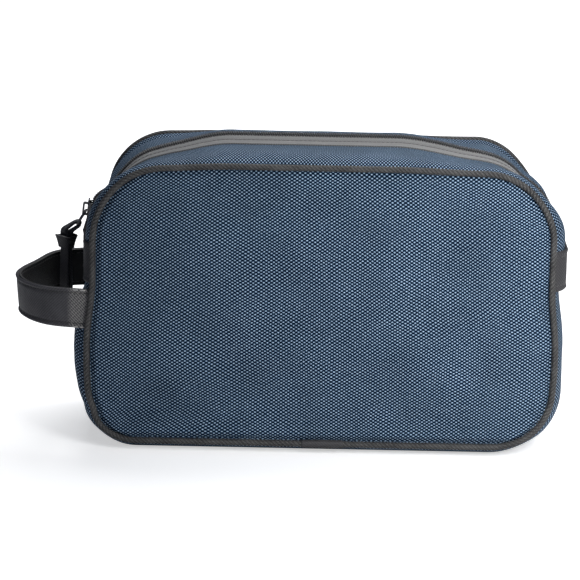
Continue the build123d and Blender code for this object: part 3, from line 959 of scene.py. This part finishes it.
def build_patches():
    for hand, sign in (("left", -1), ("right", 1)):
        zs = list(np.linspace(PATCH_LOW, PATCH_HIGH, 27))
        reach = FLAT_Y + SHOULDER_R * math.radians(60)
        ds = np.linspace(-reach, reach, 81)
        proud = 1.5 if hand == "left" else 2.1

        def point(z, d):
            y, n = crown(d)
            edge = min(z - PATCH_LOW, PATCH_HIGH - z)
            roll = 0.35 * math.exp(-((edge - 1.0) / 0.9) ** 2)
            roll -= 0.55 * math.exp(-(edge / 0.35) ** 2)
            groove = -0.22 * math.exp(-((edge - 3.4) / 0.55) ** 2)
            n += proud + roll + groove + 0.25 * wobble((z, d, 0), 14, 60)
            x = sign * (HALF + n)
            return settle((x, y, z))

        grid = [[point(z, d) for d in ds] for z in zs]
        uv = [[(d, z) for d in ds] for z in zs]
        flap = layer(f"{hand}_end_flap", grid, uv, 0, proud - 0.15, sign > 0)
        dress(flap, LEATHER, nodes=[f"{hand}_end_patch"])
        for number, z in enumerate((PATCH_LOW + 3.4, PATCH_HIGH - 3.4), 1):
            line = [point(z, d) for d in ds]
            ups = []
            for d in ds:
                (y0, n0), (y1, n1) = crown(d - 0.2), crown(d + 0.2)
                ups.append((sign * (y1 - y0), n0 - n1, 0))
            row = stitches(f"{hand}_flap_stitches_{number}", line, ups, 3.0, 2.3)
            dress(row, DARK_THREAD)


# ---- handle ----
def spline(points, first, last, steps):
    """A cubic through points with its end directions set, spaced by chord length."""
    p = np.asarray(points, dtype=float)
    gaps = np.linalg.norm(np.diff(p, axis=0), axis=1)
    t = np.concatenate([[0], np.cumsum(gaps)])
    count = len(p)
    a, b = np.zeros((count, count)), np.zeros((count, 2))
    a[0, 0] = a[-1, -1] = 1
    b[0] = np.asarray(first) / np.linalg.norm(first)
    b[-1] = np.asarray(last) / np.linalg.norm(last)
    for i in range(1, count - 1):
        h0, h1 = gaps[i - 1], gaps[i]
        a[i, i - 1], a[i, i], a[i, i + 1] = h1, 2 * (h0 + h1), h0
        b[i] = 3 * (h1 * (p[i] - p[i - 1]) / h0 + h0 * (p[i + 1] - p[i]) / h1)
    m = np.linalg.solve(a, b)
    out = []
    for value in np.linspace(0, t[-1], steps):
        i = min(np.searchsorted(t, value, side="right") - 1, count - 2)
        h = gaps[i]
        f = (value - t[i]) / h
        out.append(
            (2 * f**3 - 3 * f**2 + 1) * p[i] + (f**3 - 2 * f**2 + f) * h * m[i]
            + (-2 * f**3 + 3 * f**2) * p[i + 1] + (f**3 - f**2) * h * m[i + 1]
        )
    return np.asarray(out)


GROOVE_EDGE = 2.6  # the strap's stitched groove, from its edge


def build_handle():
    low, high = box_mm("handle_strap")
    middle, width = (low[2] + high[2]) / 2, high[2] - low[2]
    plan = spline(
        [(-HALF - 2.9, -SEAM_Y + 1.1), (-HALF - 26.5, -47.0), (-HALF - 45, -21.0),
         (-HALF - 37.5, 20), (-HALF - 26, 45), (-HALF - 0.6, SEAM_Y - 0.4)],
        (-1, 0.20), (1, 0.2), 170,
    )
    t = np.gradient(plan, axis=0)
    t /= np.linalg.norm(t, axis=1, keepdims=True)
    inward = np.stack([t[:, 1], -t[:, 0]], axis=1)
    along = run_lengths(plan)

    def face_point(i, h, depth):
        sway = 0.35 * wobble((along[i], h, 0), 22, 70)
        tip = math.exp(-((along[i] - 52) / 26) ** 2)
        lean = 1.8 * (0.5 - h / width) * tip
        p = plan[i] + inward[i] * (depth + sway + lean)
        droop = 0.8 * smooth(along[i], 60, 100)
        return (p[0], p[1], middle + h - droop)

    def swell(h):
        """How far the strap's outer face stands out across its width."""
        edge = width / 2 - abs(h)
        out = 0.42 * math.exp(-((edge - 1.1) / 0.8) ** 2)
        out -= 0.50 * math.exp(-((edge - GROOVE_EDGE) / 0.55) ** 2)
        return out - 0.75 * math.exp(-(edge / 0.42) ** 2)

    hs = sorted(set(np.round(np.concatenate([
        np.linspace(-width / 2, width / 2, 23),
        [s * (width / 2 - e) for s in (-1, 1) for e in (0.3, 0.7, 1.4, 2.1, 2.5, 2.9)],
    ]), 3)))
    grid = [[face_point(i, h, -swell(h)) for h in hs] for i in range(len(plan))]
    uv = [[(along[i], h) for h in hs] for i in range(len(plan))]
    fold = ("root", "handle", (-(HALF + 4.5) * MM, 0, middle * MM),
            (-(HALF + 16.0) * MM, 0, middle * MM))
    band = layer("handle_band", grid, uv, 0, 1.3, True)
    dress(band, HANDLE_LEATHER_PAINTED_LIGHT,
          nodes=["handle_strap", "handle_end_front", "handle_end_rear"], blend=fold)
    inner = [[face_point(i, h * 0.985, 1.25 + 0.5 * math.exp(-((width / 2 - abs(h)) / 0.6) ** 2))
              for h in hs] for i in range(len(plan))]
    back = layer("handle_inner_band", inner, uv, 0, 1.1, True)
    dress(back, BACKING, nodes=["handle_backing"], blend=fold)
    ups = np.concatenate([-inward, np.zeros((len(plan), 1))], axis=1)
    sewn = [i for i in range(len(plan)) if 0.5 < along[i] < 9.5]
    for name, side in (("top", 1), ("bottom", -1)):  # the ends' oversewn edges
        line = [face_point(i, side * (width / 2 - 0.7), -0.3) for i in sewn]
        row = stitches(f"handle_tack_{name}", line, ups[sewn], 4.2, 3.3, 0.9, 0.5)
        dress(row, PALE_THREAD, blend=fold)
    for word, sign, depth in (("outer", 1, 0.25), ("inner", -1, 2.38)):
        for name, side in (("top", 1), ("bottom", -1)):
            at = side * (width / 2 - GROOVE_EDGE)
            line = [face_point(i, at, depth) for i in range(len(plan))]
            row = stitches(f"handle_{word}_stitches_{name}", line, ups * sign, 2.9, 2.2, 0.5)
            dress(row, DARK_THREAD, blend=fold)


# ---- pull ----
def build_pull():
    end = box_mm("pull_strap")[0][2]
    collar_low, collar_high = box_mm("pull_collar")
    pull_x = (collar_low[0] + collar_high[0]) / 2
    bar = [j for j in frame["joints"] if j["name"] == "pull_swing"][0]["pos_m"]
    bar_x, bar_z = bar[0] * 1000, bar[2] * 1000
    neck = collar_high[2]
    twist = math.radians(42)
    thick, gap = 1.45, 1.75

    def ply(sign):
        """One ply from the bar down to the tail: (x, z, twist, side) stations."""
        out = []
        for z in np.linspace(neck + 0.4, end, 26):
            f = (neck - z) / (neck - end)
            splay = sign * (gap / 2 + 0.55 * smooth(f, 0.3, 1.0))
            out.append((pull_x, z, twist, splay))
        return out

    def station(x, z, turn, offset):
        across = (math.cos(turn), math.sin(turn), 0)
        return np.array([x + across[0] * offset, across[1] * offset, z])

    outer, inner = ply(-1), ply(1)
    path, turns = [], []
    for x, z, turn, offset in reversed(outer):
        path.append(station(x, z, turn, offset))
        turns.append(turn)
    loops = (
        (pull_x - 2.2, bar_z - 4.4, 0.75), (pull_x - 0.9, bar_z - 2.9, 0.5),
        (pull_x + 1.6, bar_z - 1.5, 0.3), (bar_x - 2.2, bar_z + 0.6, 0.1),
        (bar_x + 0.4, bar_z + 1.9, 0.0), (bar_x + 1.8, bar_z + 0.9, 0.0),
        (bar_x + 1.8, bar_z - 0.8, 0.0), (bar_x + 0.3, bar_z - 1.6, 0.0),
        (pull_x + 4.0, bar_z - 3.3, 0.15), (pull_x + 2.6, bar_z - 4.6, 0.45),
        (pull_x + 1.5, bar_z - 6.0, 0.8),
    )
    for x, z, f in loops:
        path.append(np.array([x, 0, z]))
        turns.append(twist * f)
    for x, z, turn, offset in inner:
        path.append(station(x, z, turn, offset))
        turns.append(turn)
    path = np.asarray(path)
    index = np.linspace(0, len(path) - 1, 4 * len(path))
    dense = interpolate(index, range(len(path)), path)
    kernel = np.ones(5) / 5
    for _ in range(3):
        padded = np.pad(dense, ((2, 2), (0, 0)), mode="edge")
        dense[2:-2] = np.stack(
            [np.convolve(padded[:, i], kernel, "valid")[2:-2] for i in range(3)], axis=1
        )
    turn = np.interp(index, range(len(path)), turns)
    wide = np.stack([-np.sin(turn), np.cos(turn), 0 * turn], axis=1)
    t = np.gradient(dense, axis=0)
    t /= np.linalg.norm(t, axis=1, keepdims=True)
    wide -= t * (wide * t).sum(1, keepdims=True)
    wide /= np.linalg.norm(wide, axis=1, keepdims=True)
    ups = np.cross(t, wide)
    section = np.asarray(rounded(7.2, thick, 0.5, 3))
    narrow = np.interp(index, range(len(path)),
                       [1.0] * len(outer) + [0.82] * len(loops) + [1.0] * len(inner))
    grid = (dense[:, None] + wide[:, None] * (section[None, :, 0] * narrow[:, None])[..., None]
            + ups[:, None] * section[None, :, 1][..., None])
    n, m = grid.shape[:2]
    uvs = length_uvs(dense, section)
    tongue = make_mesh("leather_pull", grid.reshape(-1, 3), tube_faces(0, n, m), uvs)
    dress(tongue, LEATHER, "pull", ["pull_strap"])
    tail = len(outer) * 4 - 12
    outward = np.dot(ups[4], (-math.cos(twist), -math.sin(twist), 0))
    normal = ups[:tail] * (1 if outward > 0 else -1)
    for name, side in (("front", -1), ("back", 1)):
        line = dense[:tail] + wide[:tail] * side * 2.3 + normal * (thick / 2)
        row = stitches(f"pull_stitches_{name}", line, normal, 2.6, 1.9, 0.45)
        dress(row, DARK_THREAD, "pull")
    build_collar(pull_x, collar_low[2], collar_high[2], twist)


def build_collar(x, low, high, twist):
    """The flared keeper, wrapped round the pull below its fold."""
    rows = 14
    grid, uv = [], []
    steps = 48
    for j in range(rows + 1):
        f = j / rows
        z = low + (high - low) * f
        flare = 0.2 + 2.2 * f**1.4
        w, h = 3.9 + 2.2 + 2 * flare * 0.9, 7.7 + 1.5 + 2 * flare * 0.55
        ring = []
        for k in range(steps):
            a = 2 * math.pi * k / steps
            c, s = math.cos(a), math.sin(a)
            power = 2 / 3.6
            px = math.copysign(abs(c) ** power, c) * w / 2
            py = math.copysign(abs(s) ** power, s) * h / 2
            dent = 0.25 * wobble((px, py, z), 4, 80)
            px, py = px * (1 + dent * 0.1), py * (1 + dent * 0.1)
            ring.append((x + px * math.cos(twist) - py * math.sin(twist),
                         px * math.sin(twist) + py * math.cos(twist),
                         z + 0.35 * math.cos(2 * a) * f))
        grid.append(ring)
        uv.append([(k * 24 / steps, z) for k in range(steps)])
    g = np.asarray(grid).transpose(1, 0, 2)
    u = np.asarray(uv).transpose(1, 0, 2)
    keeper = layer("pull_keeper", g, u, 0, 0.95, False, True)
    dress(keeper, LEATHER, "pull", ["pull_collar"])


# ---- metal pieces from the CAD ----
def build_metal():
    for node in ("slider", "puller_loop", "zip_end_stops"):
        obj = frame["nodes"][node]
        obj.data.materials.clear()
        obj.data.materials.append(METAL)
        if node == "slider":
            bevel = obj.modifiers.new("edges", "BEVEL")
            bevel.width = 0.12 * MM
            bevel.segments = 2
            bevel.limit_method = "ANGLE"


build_panels()
build_gusset()
build_strips()
build_zip()
build_piping()
build_patches()
build_handle()
build_pull()
build_metal()


# ---- floor, light and camera ----
AMBIENT = 0.08
FLOOR_GLOW = 0.53


def build_stage():
    size = 6.0
    verts = [(-size, -size, 0), (size, -size, 0), (size, size, 0), (-size, size, 0)]
    mesh = bpy.data.meshes.new("studio_floor")
    mesh.from_pydata(verts, [], [(0, 1, 2, 3)])
    floor = bpy.data.objects.new("studio_floor", mesh)
    bpy.context.scene.collection.objects.link(floor)
    n = Nodes("studio_white")
    n.shader.inputs["Base Color"].default_value = (0.9, 0.9, 0.9, 1)
    n.shader.inputs["Roughness"].default_value = 0.9
    n.shader.inputs["Specular IOR Level"].default_value = 0.1
    n.shader.inputs["Emission Color"].default_value = (1, 1, 1, 1)
    seen = n.node("ShaderNodeLightPath").outputs["Is Camera Ray"]
    away = n.node("ShaderNodeVectorMath", operation="LENGTH")
    n.link(n.node("ShaderNodeTexCoord").outputs["Object"], away.inputs[0])
    glow = n.ramp(away.outputs["Value"], 0.2, 0.9, FLOOR_GLOW, 1.0)
    n.link(n.math("MULTIPLY", seen, glow), n.shader.inputs["Emission Strength"])
    mesh.materials.append(n.material)
    world = bpy.data.worlds.new("studio")
    world.use_nodes = True
    tree = world.node_tree
    back = tree.nodes["Background"]
    path = tree.nodes.new("ShaderNodeLightPath")
    tint = tree.nodes.new("ShaderNodeMix")
    tint.data_type = "RGBA"
    tree.links.new(path.outputs["Is Camera Ray"], tint.inputs[0])
    tint.inputs[6].default_value = (0.78, 0.92, 1.25, 1)
    tint.inputs[7].default_value = (1, 1, 1, 1)
    tree.links.new(tint.outputs[2], back.inputs[0])
    level = tree.nodes.new("ShaderNodeMapRange")
    tree.links.new(path.outputs["Is Camera Ray"], level.inputs[0])
    level.inputs[3].default_value = AMBIENT
    level.inputs[4].default_value = 1.0
    tree.links.new(level.outputs[0], back.inputs[1])
    bpy.context.scene.world = world


def lamp(name, place, target, size, power):
    light = bpy.data.lights.new(name, "AREA")
    light.shape = "RECTANGLE"
    light.size, light.size_y = size
    light.energy = power
    obj = bpy.data.objects.new(name, light)
    obj.location = place
    obj.rotation_euler = (Vector(target) - Vector(place)).to_track_quat("-Z", "Y").to_euler()
    obj.visible_camera = False
    bpy.context.scene.collection.objects.link(obj)
    return light


def build_lights():
    centre = (0.02, 0, 0.08)
    key = lamp("key", (0.24, -0.50, 0.32), (0.13, -0.05, 0.10), (0.22, 0.22), 0.78)
    key.spread = math.radians(80)
    lamp("top", (0.12, 0.42, 0.95), centre, (1.0, 0.7), 9.5)
    view = bpy.context.scene.view_settings
    view.view_transform = "Standard"
    view.look = "None"


CAMERA_AT = Vector((-0.01777, -1.6316, 0.48535))
PITCH = math.radians(13.946)
ROLL = math.radians(1.153)
LENS = 185.25


def build_camera():
    data = bpy.data.cameras.new("camera")
    data.lens = LENS
    data.sensor_width = 36.0
    data.clip_end = 60.0
    camera = bpy.data.objects.new("camera", data)
    camera.matrix_world = (
        Matrix.Translation(CAMERA_AT) @ Matrix.Rotation(math.pi / 2 - PITCH, 4, "X")
        @ Matrix.Rotation(ROLL, 4, "Z")
    )
    bpy.context.scene.collection.objects.link(camera)
    bpy.context.scene.camera = camera


build_stage()
build_lights()
build_camera()
